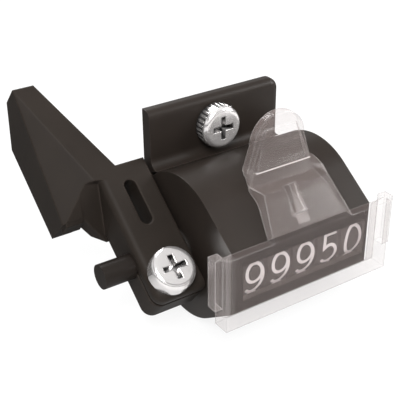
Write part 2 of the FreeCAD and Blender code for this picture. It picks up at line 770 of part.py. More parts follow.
def nut_corners():
    """The six corners of the clamp nut, with two of its flats across X."""
    corners = []
    for corner in range(6):
        a = math.radians(60 * corner + 30)
        reach = "nut_flats_half * %.6f" % (1 / math.cos(math.radians(30)))
        corners.append(("clamp_x + %s * %.6f" % (reach, math.cos(a)),
                        "-clamp_distance + %s * %.6f" % (reach, math.sin(a))))
    return corners


def slope_front(body):
    """Cut the blade's front back to one slanted face that falls from the bar towards the blade's left edge."""
    top = FreeCAD.Vector(S["blade_left"], S["blade_top"], S["bar_half"])
    foot = FreeCAD.Vector(S["bar_left"] - S["slope_inset"], S["bar_top"], S["bar_half"])
    left = FreeCAD.Vector(S["blade_left"], S["slope_low"], S["slope_height"])
    along = (foot - top).normalize()
    normal = (left - top).cross(along).normalize()
    turn = FreeCAD.Rotation(along, normal.cross(along), normal, "XZY")
    box = body.newObject("PartDesign::SubtractiveBox", "FrontSlope")
    box.AttachmentSupport = [(origin_feature(body, "XY_Plane"), "")]
    box.MapMode = "FlatFace"
    corner = turn.multVec(FreeCAD.Vector(-S["blade_wall"], -S["blade_depth"], 0))
    box.AttachmentOffset = FreeCAD.Placement(top + corner, turn)
    box.setExpression("Length", bound("blade_top"))
    box.setExpression("Width", bound("2 * blade_depth"))
    box.setExpression("Height", bound("blade_depth"))
    doc.recompute()


def make_lever():
    """One moulding: split clamping bar, actuating blade and the webs between them.

    The body is drawn flat, with Y along the bar from the shaft and Z out of its front face.
    """
    body = new_body("drive_lever")
    blade_right = "blade_left + blade_wall"
    side = [
        ("blade_low", "bar_half"),
        ("blade_rim", "blade_rim_height"),
        ("blade_back_low", "bar_half - blade_depth"),
        ("blade_back_high", "bar_half - blade_depth"),
        ("blade_back_top", "bar_half - blade_top_depth"),
        ("blade_top", "bar_half"),
    ]
    pad_polygon(body, "YZ_Plane", "blade_left", side, "blade_wall", "Blade")
    plate = [
        ("blade_left", "blade_low"),
        ("bar_left", "blade_step"),
        ("bar_left + beyond", "blade_step"),
        ("blade_join_x", "bar_top"),
        (blade_right, "blade_top"),
        ("blade_left", "blade_top"),
    ]
    pad_polygon(body, "XY_Plane", "bar_half - blade_plate", plate, "blade_plate", "Gusset")
    web = [
        ("blade_low", "bar_half"),
        ("web_low", "web_low_height"),
        ("web_low + web_thickness", "web_low_height - web_drop"),
        ("blade_low + web_thickness", "bar_half - blade_plate"),
    ]
    pad_polygon(body, "YZ_Plane", "blade_left + web_inset", web, "bar_left - blade_left + beyond", "Web")
    slope_front(body)
    bar = [
        ("-bar_low", "-bar_half"),
        ("bar_top", "-bar_half"),
        ("bar_top", "bar_half"),
        ("-bar_low", "bar_half"),
    ]
    pad_polygon(body, "YZ_Plane", "bar_left", bar, "bar_width", "Bar")
    rim = [
        ("blade_left + blade_wall", "blade_rim"),
        ("bar_left", "web_low"),
        ("bar_left", "web_low - rim_reach"),
        ("blade_left - beyond", "web_low - rim_reach"),
        ("blade_left - beyond", "blade_rim - rim_drop"),
        ("blade_left + blade_wall", "blade_rim - rim_drop"),
    ]
    cut_polygon(body, "XY_Plane", "-bar_half - blade_depth", rim, "2 * blade_depth", "Rim")
    round_edges(body, "bar_corner_round", lambda e: near(middle(e).x, S["bar_left"])
                and near(middle(e).y, -S["bar_low"]) and e.BoundBox.ZLength > 3, "LowCorner")
    round_edges(body, "bar_edge_round", lambda e: near(middle(e).x, S["bar_left"])
                and near(middle(e).z, S["bar_half"]) and e.BoundBox.YLength > 10, "LeftEdge")
    slot = [
        ("slot_x - slot_width / 2", "slot_low + slot_width / 2"),
        ("slot_x + slot_width / 2", "slot_low + slot_width / 2"),
        ("slot_x + slot_width / 2", "slot_top - slot_width / 2"),
        ("slot_x - slot_width / 2", "slot_top - slot_width / 2"),
    ]
    cut_polygon(body, "XY_Plane", "-bar_half", slot, "2 * bar_half", "Slot")
    for end in ("slot_low + slot_width / 2", "slot_top - slot_width / 2"):
        cut_circles(body, "XY_Plane", "-bar_half", [("slot_x", end, "slot_width / 2")], "2 * bar_half", "SlotEnd")
    cut_circles(body, "YZ_Plane", "bar_left", [("0", "0", "lever_shaft_radius")], "bar_width", "ShaftHole")
    split = [
        ("-bar_low", "split_height - split_width / 2"),
        ("0", "split_height - split_width / 2"),
        ("0", "split_height + split_width / 2"),
        ("-bar_low", "split_height + split_width / 2"),
    ]
    cut_polygon(body, "YZ_Plane", "bar_left", split, "bar_width", "Split")
    cut_circles(body, "XY_Plane", "-bar_half", [("clamp_x", "-clamp_distance", "screw_radius + hole_gap")],
                "2 * bar_half", "ClampHole")
    cut_polygon(body, "XY_Plane", "-bar_half", nut_corners(), "nut_height", "NutPocket")
    cut_circles(body, "YZ_Plane", "bar_left + bar_width - return_room_depth",
                [("0", "0", "return_room_radius"), ("0", "0", "lever_shaft_radius")],
                "return_room_depth", "SpringRoom")
    place(body, "0", "lever_y", "lever_z", turn=1.0, angle="lever_angle")
    return body


def make_clamp_nut():
    """The hexagon nut in the lower jaw."""
    body = new_body("clamp_nut")
    pad_polygon(body, "XY_Plane", "-bar_half", nut_corners(), "nut_height", "Hexagon")
    cut_circles(body, "XY_Plane", "-bar_half", [("clamp_x", "-clamp_distance", "screw_radius")],
                "nut_height", "Thread")
    place(body, "0", "lever_y", "lever_z", turn=1.0, angle="lever_angle")
    return body


def make_clamp_screw():
    """The screw that pulls the lever's jaws together on the shaft."""
    body = make_screw("clamp_screw", "2 * bar_half")
    y, z = lever_point("-clamp_distance", "bar_half")
    place(body, "clamp_x", y, z, turn=1.0, angle="lever_angle")
    return body


def make_return_spring():
    """The torsion spring round the lever shaft: a coil in the bar's right face."""
    feature = doc.addObject("Part::Feature", "return_spring")
    feature.Label = "return_spring"
    helix = Part.makeHelix(S["return_pitch"], RETURN_TURNS * S["return_pitch"], S["return_coil_radius"])
    start = FreeCAD.Vector(S["return_coil_radius"], 0, 0)
    ring = Part.Circle(start, FreeCAD.Vector(0, 1, 0), S["return_wire"])
    profile = Part.Wire([ring.toShape()])
    feature.Shape = Part.Wire(helix.Edges).makePipeShell([profile], True, True)
    x = S["bar_right"] - S["return_wire"] - S["return_end_gap"]
    turn = FreeCAD.Rotation(FreeCAD.Vector(0, 1, 0), -90)
    feature.Placement = FreeCAD.Placement(FreeCAD.Vector(x, S["lever_y"], S["lever_z"]), turn)
    SUB_PARTS.append(feature)
    return feature


def make_detent():
    """The detent: a round foot on the housing's left wall with a leaf that lies under the ratchet teeth."""
    body = new_body("detent_spring")
    foot = ("axis_y + detent_post_y", "axis_z + detent_post_z")
    pad_circles(body, "YZ_Plane", "room_x", [foot + ("detent_post_radius",)],
                "ratchet_x + ratchet_thickness - room_x", "Foot")
    leaf = [
        ("axis_y + detent_post_y", "axis_z + detent_post_z"),
        ("axis_y + detent_post_y", "axis_z + detent_post_z + spring_leaf"),
        ("axis_y + detent_heel_y", "axis_z - ratchet_tip - detent_heel_gap + spring_leaf"),
        ("axis_y + detent_tip_y", "axis_z - ratchet_tip + detent_tip_rise"),
        ("axis_y + detent_end_y", "axis_z - ratchet_tip - detent_end_gap"),
        ("axis_y + detent_tip_y", "axis_z - ratchet_tip - detent_heel_gap"),
    ]
    pad_polygon(body, "YZ_Plane", "ratchet_x", leaf, "ratchet_thickness", "Leaf")
    return body


def trim_sides(body, corners, name):
    """Cut a body back to a symmetric outline given as half widths and heights from the foot to the top."""
    for side, sign in (("Left", "-"), ("Right", "+")):
        far = "tongue_centre %s (tongue_root_half + 2 * beyond)" % sign
        points = [("tongue_centre %s %s" % (sign, half), height) for half, height in corners]
        trim = [(far, corners[0][1])] + points + [(far, corners[-1][1])]
        cut_polygon(body, "XZ_Plane", "-front_y - drum_radius", trim, "2 * drum_radius", name + side)


def make_tab(body):
    """The finger tab at the end of the tongue: a tapered block in front of a thinner plate with a round head."""
    block = [
        ("bend_y", "bend_z"),
        ("block_top_y", "block_top_z"),
        ("block_top_y + block_depth", "block_top_z"),
        ("bend_y + block_depth + tab_thickness / 2", "bend_z"),
    ]
    pad_polygon(body, "YZ_Plane", "tongue_centre - block_half", block, "2 * block_half", "Block")
    trim_sides(body, [("block_half", "bend_z"), ("block_top_half", "block_top_z")], "BlockTrim")
    tongue = [
        ("front_y - cover_front", "axis_z + nose_half"),
        ("front_y - cover_front", "axis_z + nose_half + tongue_rise"),
        ("shoulder_y", "shoulder_z"),
        ("ledge_y", "ledge_z"),
        ("bend_y", "bend_z"),
        ("bend_y + block_depth", "bend_z"),
        ("tab_top_y - tab_thickness", "tab_top_z"),
        ("tab_top_y", "tab_top_z"),
        ("bend_y + block_depth + tab_thickness", "bend_z"),
        ("ledge_y + ledge_thickness", "ledge_z - ledge_thickness"),
        ("shoulder_y + tongue_thickness / 2", "shoulder_z - tongue_thickness"),
        ("front_y", "axis_z + nose_half"),
    ]
    pad_polygon(body, "YZ_Plane", "tongue_centre - tongue_root_half", tongue, "2 * tongue_root_half", "Tongue")
    outline = [
        ("tongue_root_half", "axis_z + nose_half + tongue_rise"),
        ("tongue_shoulder_half", "shoulder_z"),
        ("ledge_half", "ledge_z"),
        ("tab_half", "bend_z"),
        ("tab_head_radius", "tab_top_z - tab_head_radius"),
        ("tab_head_radius", "tab_top_z + beyond"),
    ]
    trim_sides(body, outline, "TongueTrim")
    for side, sign in (("Left", "-"), ("Right", "+")):
        far = "tongue_centre %s (tongue_root_half + 2 * beyond)" % sign
        back = "tongue_centre %s ledge_back_half" % sign
        taper = [
            ("tongue_centre %s ledge_half" % sign, "ledge_y"),
            (back, "ledge_back_y"),
            (back, "bend_y + block_depth + 2 * tab_thickness"),
            (far, "bend_y + block_depth + 2 * tab_thickness"),
            (far, "ledge_y"),
        ]
        cut_polygon(body, "XY_Plane", "shoulder_z - 2 * tongue_thickness", taper,
                    "bend_z - shoulder_z + 2 * tongue_thickness", "LedgeTaper" + side)
    round_edges(body, "tab_head_radius - tab_head_gap", lambda e: near(middle(e).z, S["tab_top_z"])
                and near(abs(middle(e).x - S["tongue_centre"]), S["tab_head_radius"])
                and near(e.BoundBox.ZLength, 0), "TabHead")


def make_cover():
    """The clear cover: front panel, side and bottom walls, outer lugs and the tongue with its finger tab."""
    body = new_body("window_cover")
    make_tab(body)
    top = "axis_z + nose_half"
    face = "front_y - cover_front"
    outer_right = "cover_left + cover_length"
    rib = body.newObject("PartDesign::AdditiveCylinder", "Rib")
    rib.AttachmentSupport = [(origin_feature(body, "XY_Plane"), "")]
    rib.MapMode = "FlatFace"
    rise = S["shoulder_z"] - S["axis_z"] - S["nose_half"] - S["tongue_rise"]
    slope = math.degrees(math.atan2(rise, S["shoulder_y"] - S["front_y"] + S["cover_front"]))
    rib_z = S["shoulder_z"] + (S["rib_start_y"] - S["shoulder_y"]) * math.tan(math.radians(slope))
    turn = FreeCAD.Rotation(FreeCAD.Vector(1, 0, 0), slope - 90)
    below = turn.multVec(FreeCAD.Vector(0, S["rib_depth"], 0))
    start = FreeCAD.Vector(S["rib_x"], S["rib_start_y"], rib_z) + below
    rib.AttachmentOffset = FreeCAD.Placement(start, turn)
    rib.setExpression("Radius", bound("rib_radius"))
    rib.setExpression("Height", bound("rib_length"))
    doc.recompute()
    panel = [("cover_left", "-cover_bottom"), (outer_right, "-cover_bottom"), (outer_right, top), ("cover_left", top)]
    pad_polygon(body, "XZ_Plane", "-front_y", panel, "cover_front", "Panel")
    for name, start_x in (("LeftWall", "cover_left"), ("RightWall", outer_right + " - cover_side")):
        wall = [
            (face, "-cover_bottom"),
            ("cover_back", "-cover_bottom"),
            ("cover_back", top + " - (cover_back - front_y)"),
            ("front_y", top),
            (face, top),
        ]
        pad_polygon(body, "YZ_Plane", start_x, wall, "cover_side", name)
    floor = [
        (face, "-cover_bottom"),
        ("cover_back", "-cover_bottom"),
        ("cover_back", "axis_z - nose_half - cover_floor_gap - (cover_back - front_y) * nose_slope"),
        ("front_y", "axis_z - nose_half - cover_floor_gap"),
        (face, "axis_z - nose_half - cover_floor_gap"),
    ]
    pad_polygon(body, "YZ_Plane", "cover_left", floor, "cover_length", "Floor")
    lug = [("lug_front", "lug_bottom"), ("lug_back", "lug_bottom"), ("lug_back", top), ("lug_front", top)]
    pad_polygon(body, "YZ_Plane", "cover_left - lug_length", lug, "lug_length + join", "LeftLug")
    pad_polygon(body, "YZ_Plane", outer_right + " - join", lug, "lug_length + join", "RightLug")
    return body


def build():
    """Make every sub-part."""
    make_housing()
    make_side_plate()
    make_plate_screw("upper_plate_screw", "+")
    make_plate_screw("lower_plate_screw", "-")
    for index, (name, digit) in enumerate(zip(WHEEL_NAMES, SHOWN_DIGITS)):
        make_wheel(name, index, digit)
    for boundary in range(1, len(WHEEL_NAMES)):
        make_pinion("carry_pinion_%d" % boundary, boundary)
        make_carrier("pinion_carrier_%d" % boundary, boundary)
    make_round_bar("carrier_rod", "room_x - shaft_seat", "axis_y + rod_distance", "axis_z", "rod_radius",
                   "right_x - room_x + shaft_seat")
    make_round_bar("wheel_shaft", "room_x - shaft_seat + running_gap", "axis_y", "axis_z", "wheel_shaft_radius",
                   "right_x - room_x + shaft_seat - shaft_end_gap")
    make_ratchet()
    make_detent()
    make_bush()
    shaft = make_round_bar("lever_shaft", "bar_left", "lever_y", "lever_z", "lever_shaft_radius",
                           "rocker_x + rocker_thickness - bar_left")
    pad_circles(shaft, "YZ_Plane", "bar_left - lever_shaft_stub", [("lever_y", "lever_z", "stub_radius")],
                "lever_shaft_stub", "Stub")
    make_rocker()
    make_round_bar("pawl_pin", "rocker_x", "axis_y + pawl_pin_y", "axis_z + pawl_pin_z", "pawl_pin_radius",
                   "rocker_thickness + layer_gap + ratchet_thickness")
    make_pawl()
    make_fixing_screw()
    make_lever()
    make_clamp_screw()
    make_clamp_nut()
    make_return_spring()
    make_cover()
    doc.recompute()


def check():
    """Stop if an object failed or a shape is not a valid solid."""
    for item in doc.Objects:
        for word in ("Invalid", "Error"):
            if word in item.State:
                raise RuntimeError("%s of %s is %s" % (item.Name, doc.Name, word))
    for part in SUB_PARTS:
        shape = part.Shape
        if shape.isNull() or not shape.isValid() or not shape.Solids:
            raise RuntimeError("bad shape: " + part.Label)


def write():
    """Write one STEP file for each sub-part."""
    os.makedirs("parts", exist_ok=True)
    for part in SUB_PARTS:
        part.Shape.exportStep(os.path.join("parts", part.Label + ".step"))
        print("%-22s %8.1f mm3  %d solid(s)" % (part.Label, part.Shape.Volume, len(part.Shape.Solids)))


build()
check()
write()
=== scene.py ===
"""Looks of the operation counter: finishes, printed numerals, screw details and a plain studio.

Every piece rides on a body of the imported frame. Lengths are in metres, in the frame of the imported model.
"""
import logging
import math
from dataclasses import dataclass, field
from enum import Enum
from typing import Iterable, Sequence, Union

import bmesh
import bpy
from mathutils import Matrix, Vector


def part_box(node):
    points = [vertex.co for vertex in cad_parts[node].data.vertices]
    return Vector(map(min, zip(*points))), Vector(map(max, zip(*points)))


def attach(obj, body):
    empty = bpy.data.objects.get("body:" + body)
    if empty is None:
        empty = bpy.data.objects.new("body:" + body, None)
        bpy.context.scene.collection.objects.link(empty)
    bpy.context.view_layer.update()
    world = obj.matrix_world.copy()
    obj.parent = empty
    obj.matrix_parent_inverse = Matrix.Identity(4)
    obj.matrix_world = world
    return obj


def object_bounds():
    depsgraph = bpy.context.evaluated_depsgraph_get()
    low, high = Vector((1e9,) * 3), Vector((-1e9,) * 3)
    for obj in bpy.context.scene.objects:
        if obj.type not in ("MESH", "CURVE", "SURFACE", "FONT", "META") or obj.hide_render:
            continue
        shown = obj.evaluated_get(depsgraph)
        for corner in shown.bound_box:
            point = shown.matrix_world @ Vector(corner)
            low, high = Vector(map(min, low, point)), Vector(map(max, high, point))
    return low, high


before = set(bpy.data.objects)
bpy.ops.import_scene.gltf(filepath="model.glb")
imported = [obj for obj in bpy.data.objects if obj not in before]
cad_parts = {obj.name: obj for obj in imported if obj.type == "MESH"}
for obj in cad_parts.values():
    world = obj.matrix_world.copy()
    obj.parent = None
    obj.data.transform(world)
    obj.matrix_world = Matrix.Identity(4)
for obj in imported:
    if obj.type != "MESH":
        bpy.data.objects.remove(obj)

CAD_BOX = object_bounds()
LOG = logging.getLogger("operation_counter")
MM = 0.001
Colour = tuple[float, float, float]
Triple = tuple[float, float, float]
Point = tuple[float, float]

FLANGE = 1.9 * MM    # how thick the mounting flange is
FLUTES = 28          # ribs round the head of the fixing screw
DIGITS = 10          # numerals on a wheel
LINE_STEPS = 10      # steps in a straight line as long as a numeral's box
ARC_STEP = 9         # degrees to a step of an arc
ARC_LEAST = 4        # steps in the shortest arc
CLOSED = 1e-7        # the ends of a closed stroke lie nearer to each other than this
EDGE_SAMPLES = 6     # rays that feel for an edge
HOLLOW_SAMPLES = 8   # rays that feel for the walls of a recess


class Wire:
    """A socket on its way through a material, so that sums on it can be written as sums."""

    def __init__(self, recipe: "Recipe", socket: bpy.types.NodeSocket) -> None:
        """Wrap a socket.

        Args:
            recipe: the material that the socket belongs to.
            socket: the output socket.
        """
        self.recipe = recipe
        self.socket = socket

    def _math(self, operation: str, first: "Operand", second: "Operand") -> "Wire":
        """Add a Math node.

        Args:
            operation: the node's operation.
            first: its first value.
            second: its second value.

        Returns:
            The node's result.
        """
        return self.recipe.node("ShaderNodeMath", {"operation": operation}, {0: first, 1: second})

    def __add__(self, other: "Operand") -> "Wire":
        """Sum."""
        return self._math("ADD", self, other)

    def __radd__(self, other: "Operand") -> "Wire":
        """Sum with the wire on the right."""
        return self._math("ADD", other, self)

    def __sub__(self, other: "Operand") -> "Wire":
        """Difference."""
        return self._math("SUBTRACT", self, other)

    def __rsub__(self, other: "Operand") -> "Wire":
        """Difference with the wire on the right."""
        return self._math("SUBTRACT", other, self)

    def __mul__(self, other: "Operand") -> "Wire":
        """Product."""
        return self._math("MULTIPLY", self, other)

    def __pow__(self, other: "Operand") -> "Wire":
        """Power."""
        return self._math("POWER", self, other)

    def clamped(self) -> "Wire":
        """Keep the value between 0 and 1."""
        return self.recipe.node("ShaderNodeClamp", {}, {"Value": self})


Operand = Union[Wire, float, int]


class Recipe:
    """One material under construction."""

    def __init__(self, name: str, owner: bpy.types.ID | None = None) -> None:
        """Start an empty node tree.

        Args:
            name: the material's name.
            owner: a world to fill instead of a new material.
        """
        self.owner = owner or bpy.data.materials.new(name)
        self.owner.use_nodes = True
        self.tree = self.owner.node_tree
        self.tree.nodes.clear()

    def node(self, kind: str, settings: dict, sockets: dict, output: Union[int, str] = 0) -> Wire:
        """Add one node.

        Args:
            kind: the node's type.
            settings: its properties; a ramp's stops go under "stops".
            sockets: a value or a wire for each input that is set.
            output: which of its outputs is wanted.

        Returns:
            That output.
        """
        node = self.tree.nodes.new(kind)
        for name, value in settings.items():
            if name == "stops":
                self._stops(node.color_ramp, value)
            else:
                setattr(node, name, value)
        for key, value in sockets.items():
            if isinstance(value, Wire):
                self.tree.links.new(value.socket, node.inputs[key])
            else:
                node.inputs[key].default_value = value
        outputs = node.outputs
        return Wire(self, outputs[output]) if len(outputs) else Wire(self, None)

    @staticmethod
    def _stops(ramp: bpy.types.ColorRamp, stops: Sequence[tuple[float, Colour]]) -> None:
        """Give a ramp its stops.

        Args:
            ramp: the ramp.
            stops: positions and colours from the left.
        """
        while len(ramp.elements) > 1:
            ramp.elements.remove(ramp.elements[-1])
        for index, (place, colour) in enumerate(stops):
            stop = ramp.elements[0] if index == 0 else ramp.elements.new(place)
            stop.position = place
            stop.color = (*colour, 1.0)

    def place(self) -> Wire:
        """Where a point lies on its piece."""
        return self.node("ShaderNodeTexCoord", {}, {}, "Object")

    def axes(self) -> list[Wire]:
        """Where a point lies on its piece, axis by axis."""
        place = self.place()
        return [self.node("ShaderNodeSeparateXYZ", {}, {"Vector": place}, axis) for axis in "XYZ"]

    def noise(self, scale: float, detail: float = 3.0, stretch: Triple | None = None) -> Wire:
        """A soft random pattern between 0 and 1.

        Args:
            scale: how many waves it has in a metre.
            detail: how many finer layers it has.
            stretch: how much it is scaled along each axis.

        Returns:
            The pattern's value.
        """
        where = self.place()
        if stretch:
            where = self.node("ShaderNodeMapping", {}, {"Vector": where, "Scale": stretch})
        return self.node("ShaderNodeTexNoise", {}, {"Vector": where, "Scale": scale, "Detail": detail})

    def blend(self, mask: Operand, low: Union[Wire, Colour], high: Union[Wire, Colour]) -> Wire:
        """Mix two colours, through the node's colour sockets 6, 7 and 2.

        Args:
            mask: 0 for the first and 1 for the second.
            low: the first colour.
            high: the second colour.

        Returns:
            The mixed colour.
        """
        ends = [item if isinstance(item, Wire) else (*item, 1.0) for item in (low, high)]
        return self.node("ShaderNodeMix", {"data_type": "RGBA"}, {0: mask, 6: ends[0], 7: ends[1]}, 2)

    def soft_edges(self, radius: float, gain: float = 4.0) -> tuple[Wire, Wire]:
        """Round the edges in the shading.

        Args:
            radius: the radius of the rounding.
            gain: how fast the mask rises as the rounded normal leaves the true one.

        Returns:
            The rounded normal, and a mask that is above 0 near edges.
        """
        rounded = self.node("ShaderNodeBevel", {"samples": EDGE_SAMPLES}, {"Radius": radius})
        plain = self.node("ShaderNodeNewGeometry", {}, {}, "Normal")
        agree = self.node("ShaderNodeVectorMath", {"operation": "DOT_PRODUCT"}, {0: rounded, 1: plain},
                          "Value")
        return rounded, ((1 - agree) * gain).clamped()

    def hollows(self, reach: float, gain: float = 2.2) -> Wire:
        """Find recesses, where the finishes paint shade.

        Args:
            reach: how far away their walls may be.
            gain: how fast the mask rises as the walls close in.

        Returns:
            A mask that rises to 1 deep in a recess.
        """
        open_share = self.node("ShaderNodeAmbientOcclusion", {"samples": HOLLOW_SAMPLES},
                               {"Distance": reach}, "AO")
        return ((1 - open_share) * gain).clamped()

    def bump(self, height: Wire, depth: float, normal: Wire) -> Wire:
        """Turn a pattern into relief.

        Args:
            height: the pattern.
            depth: how deep it is.
            normal: the normal under it.

        Returns:
            The new normal.
        """
        return self.node("ShaderNodeBump", {}, {"Strength": 1.0, "Distance": depth, "Height": height,
                                                "Normal": normal})

    def surface(self, values: dict) -> bpy.types.Material:
        """Finish with a Principled shader.

        Args:
            values: a value or a wire for each of its sockets.

        Returns:
            The material.
        """
        shader = self.node("ShaderNodeBsdfPrincipled", {}, values)
        self.node("ShaderNodeOutputMaterial", {}, {"Surface": shader})
        return self.owner


def scaled(colour: Colour, factor: float) -> Colour:
    """Make a colour darker or paler.

    Args:
        colour: the colour.
        factor: what each of its parts is multiplied by.

    Returns:
        The new colour.
    """
    return tuple(factor * part for part in colour)


def grey(level: float) -> Colour:
    """Give a grey.

    Args:
        level: 0 for black and 1 for white.

    Returns:
        The colour.
    """
    return (level, level, level)


@dataclass(frozen=True)
class MouldedBlack:
    """Fine-grained black moulding, with colour a little uneven and edges made paler, partly as wear and
    partly as a painted highlight.
    """

    name: str
    colour: Colour = (0.0165, 0.0125, 0.0102)
    roughness: float = 0.36
    offset: float = 0.05
    uneven: float = 0.06
    gloss: float = 0.17
    edge: float = 0.16 * MM
    grain: float = 0.006 * MM
    cloud_scale: float = 160.0
    grain_scale: float = 5200.0
    deep: float = 0.78
    # How pale the edges turn and how far: partly wear, partly a painted highlight.
    pale: float = 1.3
    edge_wear_and_highlight_pale: float = 2.6
    edge_wear_and_highlight: float = 0.3
    edge_wear_and_highlight_cloud: float = 0.5

    def make(self) -> bpy.types.Material:
        """Build the material."""
        recipe = Recipe(self.name)
        normal, near_edge = recipe.soft_edges(self.edge)
        cloud = recipe.noise(self.cloud_scale, detail=4.0)
        speck = recipe.noise(self.grain_scale, detail=2.0)
        body = recipe.blend(cloud, scaled(self.colour, self.deep), scaled(self.colour, self.pale))
        # Edges are made paler: partly wear, partly a painted highlight.
        edge_wear_and_highlight = near_edge * (self.edge_wear_and_highlight + cloud * self.edge_wear_and_highlight_cloud)
        return recipe.surface({
            "Base Color": recipe.blend(edge_wear_and_highlight, body, scaled(self.colour, self.edge_wear_and_highlight_pale)),
            "Roughness": (self.roughness - self.offset) + cloud * self.uneven + speck * self.uneven,
            "Specular IOR Level": self.gloss,
            "Normal": recipe.bump(speck, self.grain, normal),
        })


@dataclass(frozen=True)
class PrintedPale:
    """The pale ink of the numerals, with a faint glow so that the window's shade doesn't dull it."""

    name: str
    colour: Colour = (0.52, 0.475, 0.47)
    dull: float = 0.9
    cloud_scale: float = 900.0
    roughness: float = 0.5
    uneven: float = 0.15
    glow: float = 0.25

    def make(self) -> bpy.types.Material:
        """Build the material."""
        recipe = Recipe(self.name)
        cloud = recipe.noise(self.cloud_scale)
        ink = recipe.blend(cloud, scaled(self.colour, self.dull), self.colour)
        return recipe.surface({
            "Base Color": ink,
            "Roughness": self.roughness + cloud * self.uneven,
            "Emission Color": ink,
            "Emission Strength": self.glow,
        })


@dataclass(frozen=True)
class ClearMoulding:
    """Clear polished plastic: a faint grey body under a mirror skin that grows at a flat angle.

    Painted highlights are laid in by place: a bright line along the bend under the tab, a bright foot to the
    rib, and pale edges. The lugs are made paler and less clear, and the tab's head less clear. A "light"
    turns such a place pale and a "cover" makes it less clear.
    """

    name: str
    colour: Colour = (0.33, 0.265, 0.25)
    dull: float = 0.92
    # The pale colour of the painted highlights, the pale edges and the paler lugs.
    edge: Colour = (0.52, 0.49, 0.48)
    edge_radius: float = 0.35 * MM
    edge_cover: float = 0.2
    cloud_scale: float = 220.0
    cloud_cover: float = 0.01
    haze_scale: float = 90.0
    relief: float = 0.01 * MM
    flatness: float = 0.3
    body: float = 0.10
    body_roughness: float = 0.5
    body_uneven: float = 0.1
    rim: float = 0.30
    rim_power: float = 2.0
    least_skin: float = 0.016
    skin: float = 0.30
    skin_power: float = 4.0
    roughness: float = 0.16
    uneven: float = 0.04
    blur: float = 0.25 * MM
    left: float = -10.75 * MM
    right: float = 12.9 * MM
    lug_light: float = 0.35
    lug_cover: float = 0.03
    head_z: float = 2.0 * MM
    head_ramp: float = 2.5 * MM
    head_cover: float = 0.05
    # Where the painted highlight along the bend under the tab lies.
    bend_z: float = -1.5 * MM
    bend_x: float = 1.8 * MM
    bend_half: float = 4.6 * MM
    bend_line: float = 0.11 * MM
    bend_ends: float = 12.0
    bend_light: float = 0.75
    bend_cover: float = 0.7
    front_y: float = -15.3 * MM
    # Where the painted highlight at the foot of the rib lies.
    rib_x: float = 0.8 * MM
    rib_half: float = 1.15 * MM
    rib_top: float = -18.0 * MM
    rib_foot: float = -21.6 * MM
    rib_low: float = -7.15 * MM
    rib_sides: float = 2.5
    rib_light: float = 0.45
    rib_cover: float = 0.3

    def make(self) -> bpy.types.Material:
        """Build the material."""
        recipe = Recipe(self.name)
        normal, near_edge = recipe.soft_edges(self.edge_radius)
        cloud = recipe.noise(self.cloud_scale, detail=2.0)
        haze = recipe.noise(self.haze_scale, detail=2.0)
        relief = recipe.bump(haze, self.relief, normal)
        facing = recipe.node("ShaderNodeLayerWeight", {}, {"Blend": self.flatness, "Normal": normal},
                             "Facing")
        mirror = self.least_skin + (facing ** self.skin_power) * self.skin
        x, y, z = recipe.axes()
        soft = 1.0 / self.blur
        # The lugs beyond both ends are made paler and less clear.
        beside = ((self.left - x) * soft).clamped() + ((x - self.right) * soft).clamped()
        above = ((z - self.head_z) * (1.0 / self.head_ramp)).clamped()
        # Painted highlight: a bright line along the bend under the tab.
        off_bend = (z - self.bend_z) * (1.0 / self.bend_line)
        off_side = (x - self.bend_x) * (1.0 / self.bend_half)
        catch = (1.0 - off_bend * off_bend).clamped()
        catch = catch * ((1.0 - off_side * off_side) * self.bend_ends).clamped()
        catch = catch * ((self.front_y - y) * soft).clamped()
        # Painted highlight: a bright foot to the rib.
        down = ((self.rib_top - y) * (1.0 / (self.rib_top - self.rib_foot))).clamped()
        off_rib = (x - self.rib_x) * (1.0 / self.rib_half)
        ridge = ((down - off_rib * off_rib) * self.rib_sides).clamped() * down
        ridge = ridge * ((z - self.rib_low) * soft).clamped()
        # The painted highlights, the pale edges and the paler lugs blend the colour towards the pale edge
        # colour.
        bright = catch * self.bend_light + ridge * self.rib_light + beside * self.lug_light + near_edge
        cover = self.body + (facing ** self.rim_power) * self.rim
        cover = cover + near_edge * self.edge_cover + cloud * self.cloud_cover
        cover = cover + beside * self.lug_cover + above * self.head_cover
        cover = cover + catch * self.bend_cover + ridge * self.rib_cover
        tone = recipe.blend(haze, scaled(self.colour, self.dull), self.colour)
        body = recipe.node("ShaderNodeBsdfPrincipled", {}, {
            "Base Color": recipe.blend(bright.clamped(), tone, self.edge),
            "Roughness": self.body_roughness + cloud * self.body_uneven,
            "Specular IOR Level": 0.0,
            "Alpha": cover.clamped(),
            "Normal": relief,
        })
        skin = recipe.node("ShaderNodeBsdfPrincipled", {}, {
            "Base Color": (*grey(1.0), 1.0),
            "Metallic": 1.0,
            "Roughness": self.roughness + cloud * self.uneven,
            "Normal": relief,
        })
        mixed = recipe.node("ShaderNodeMixShader", {}, {0: mirror.clamped(), 1: body, 2: skin})
        recipe.node("ShaderNodeOutputMaterial", {}, {"Surface": mixed})
        return recipe.owner


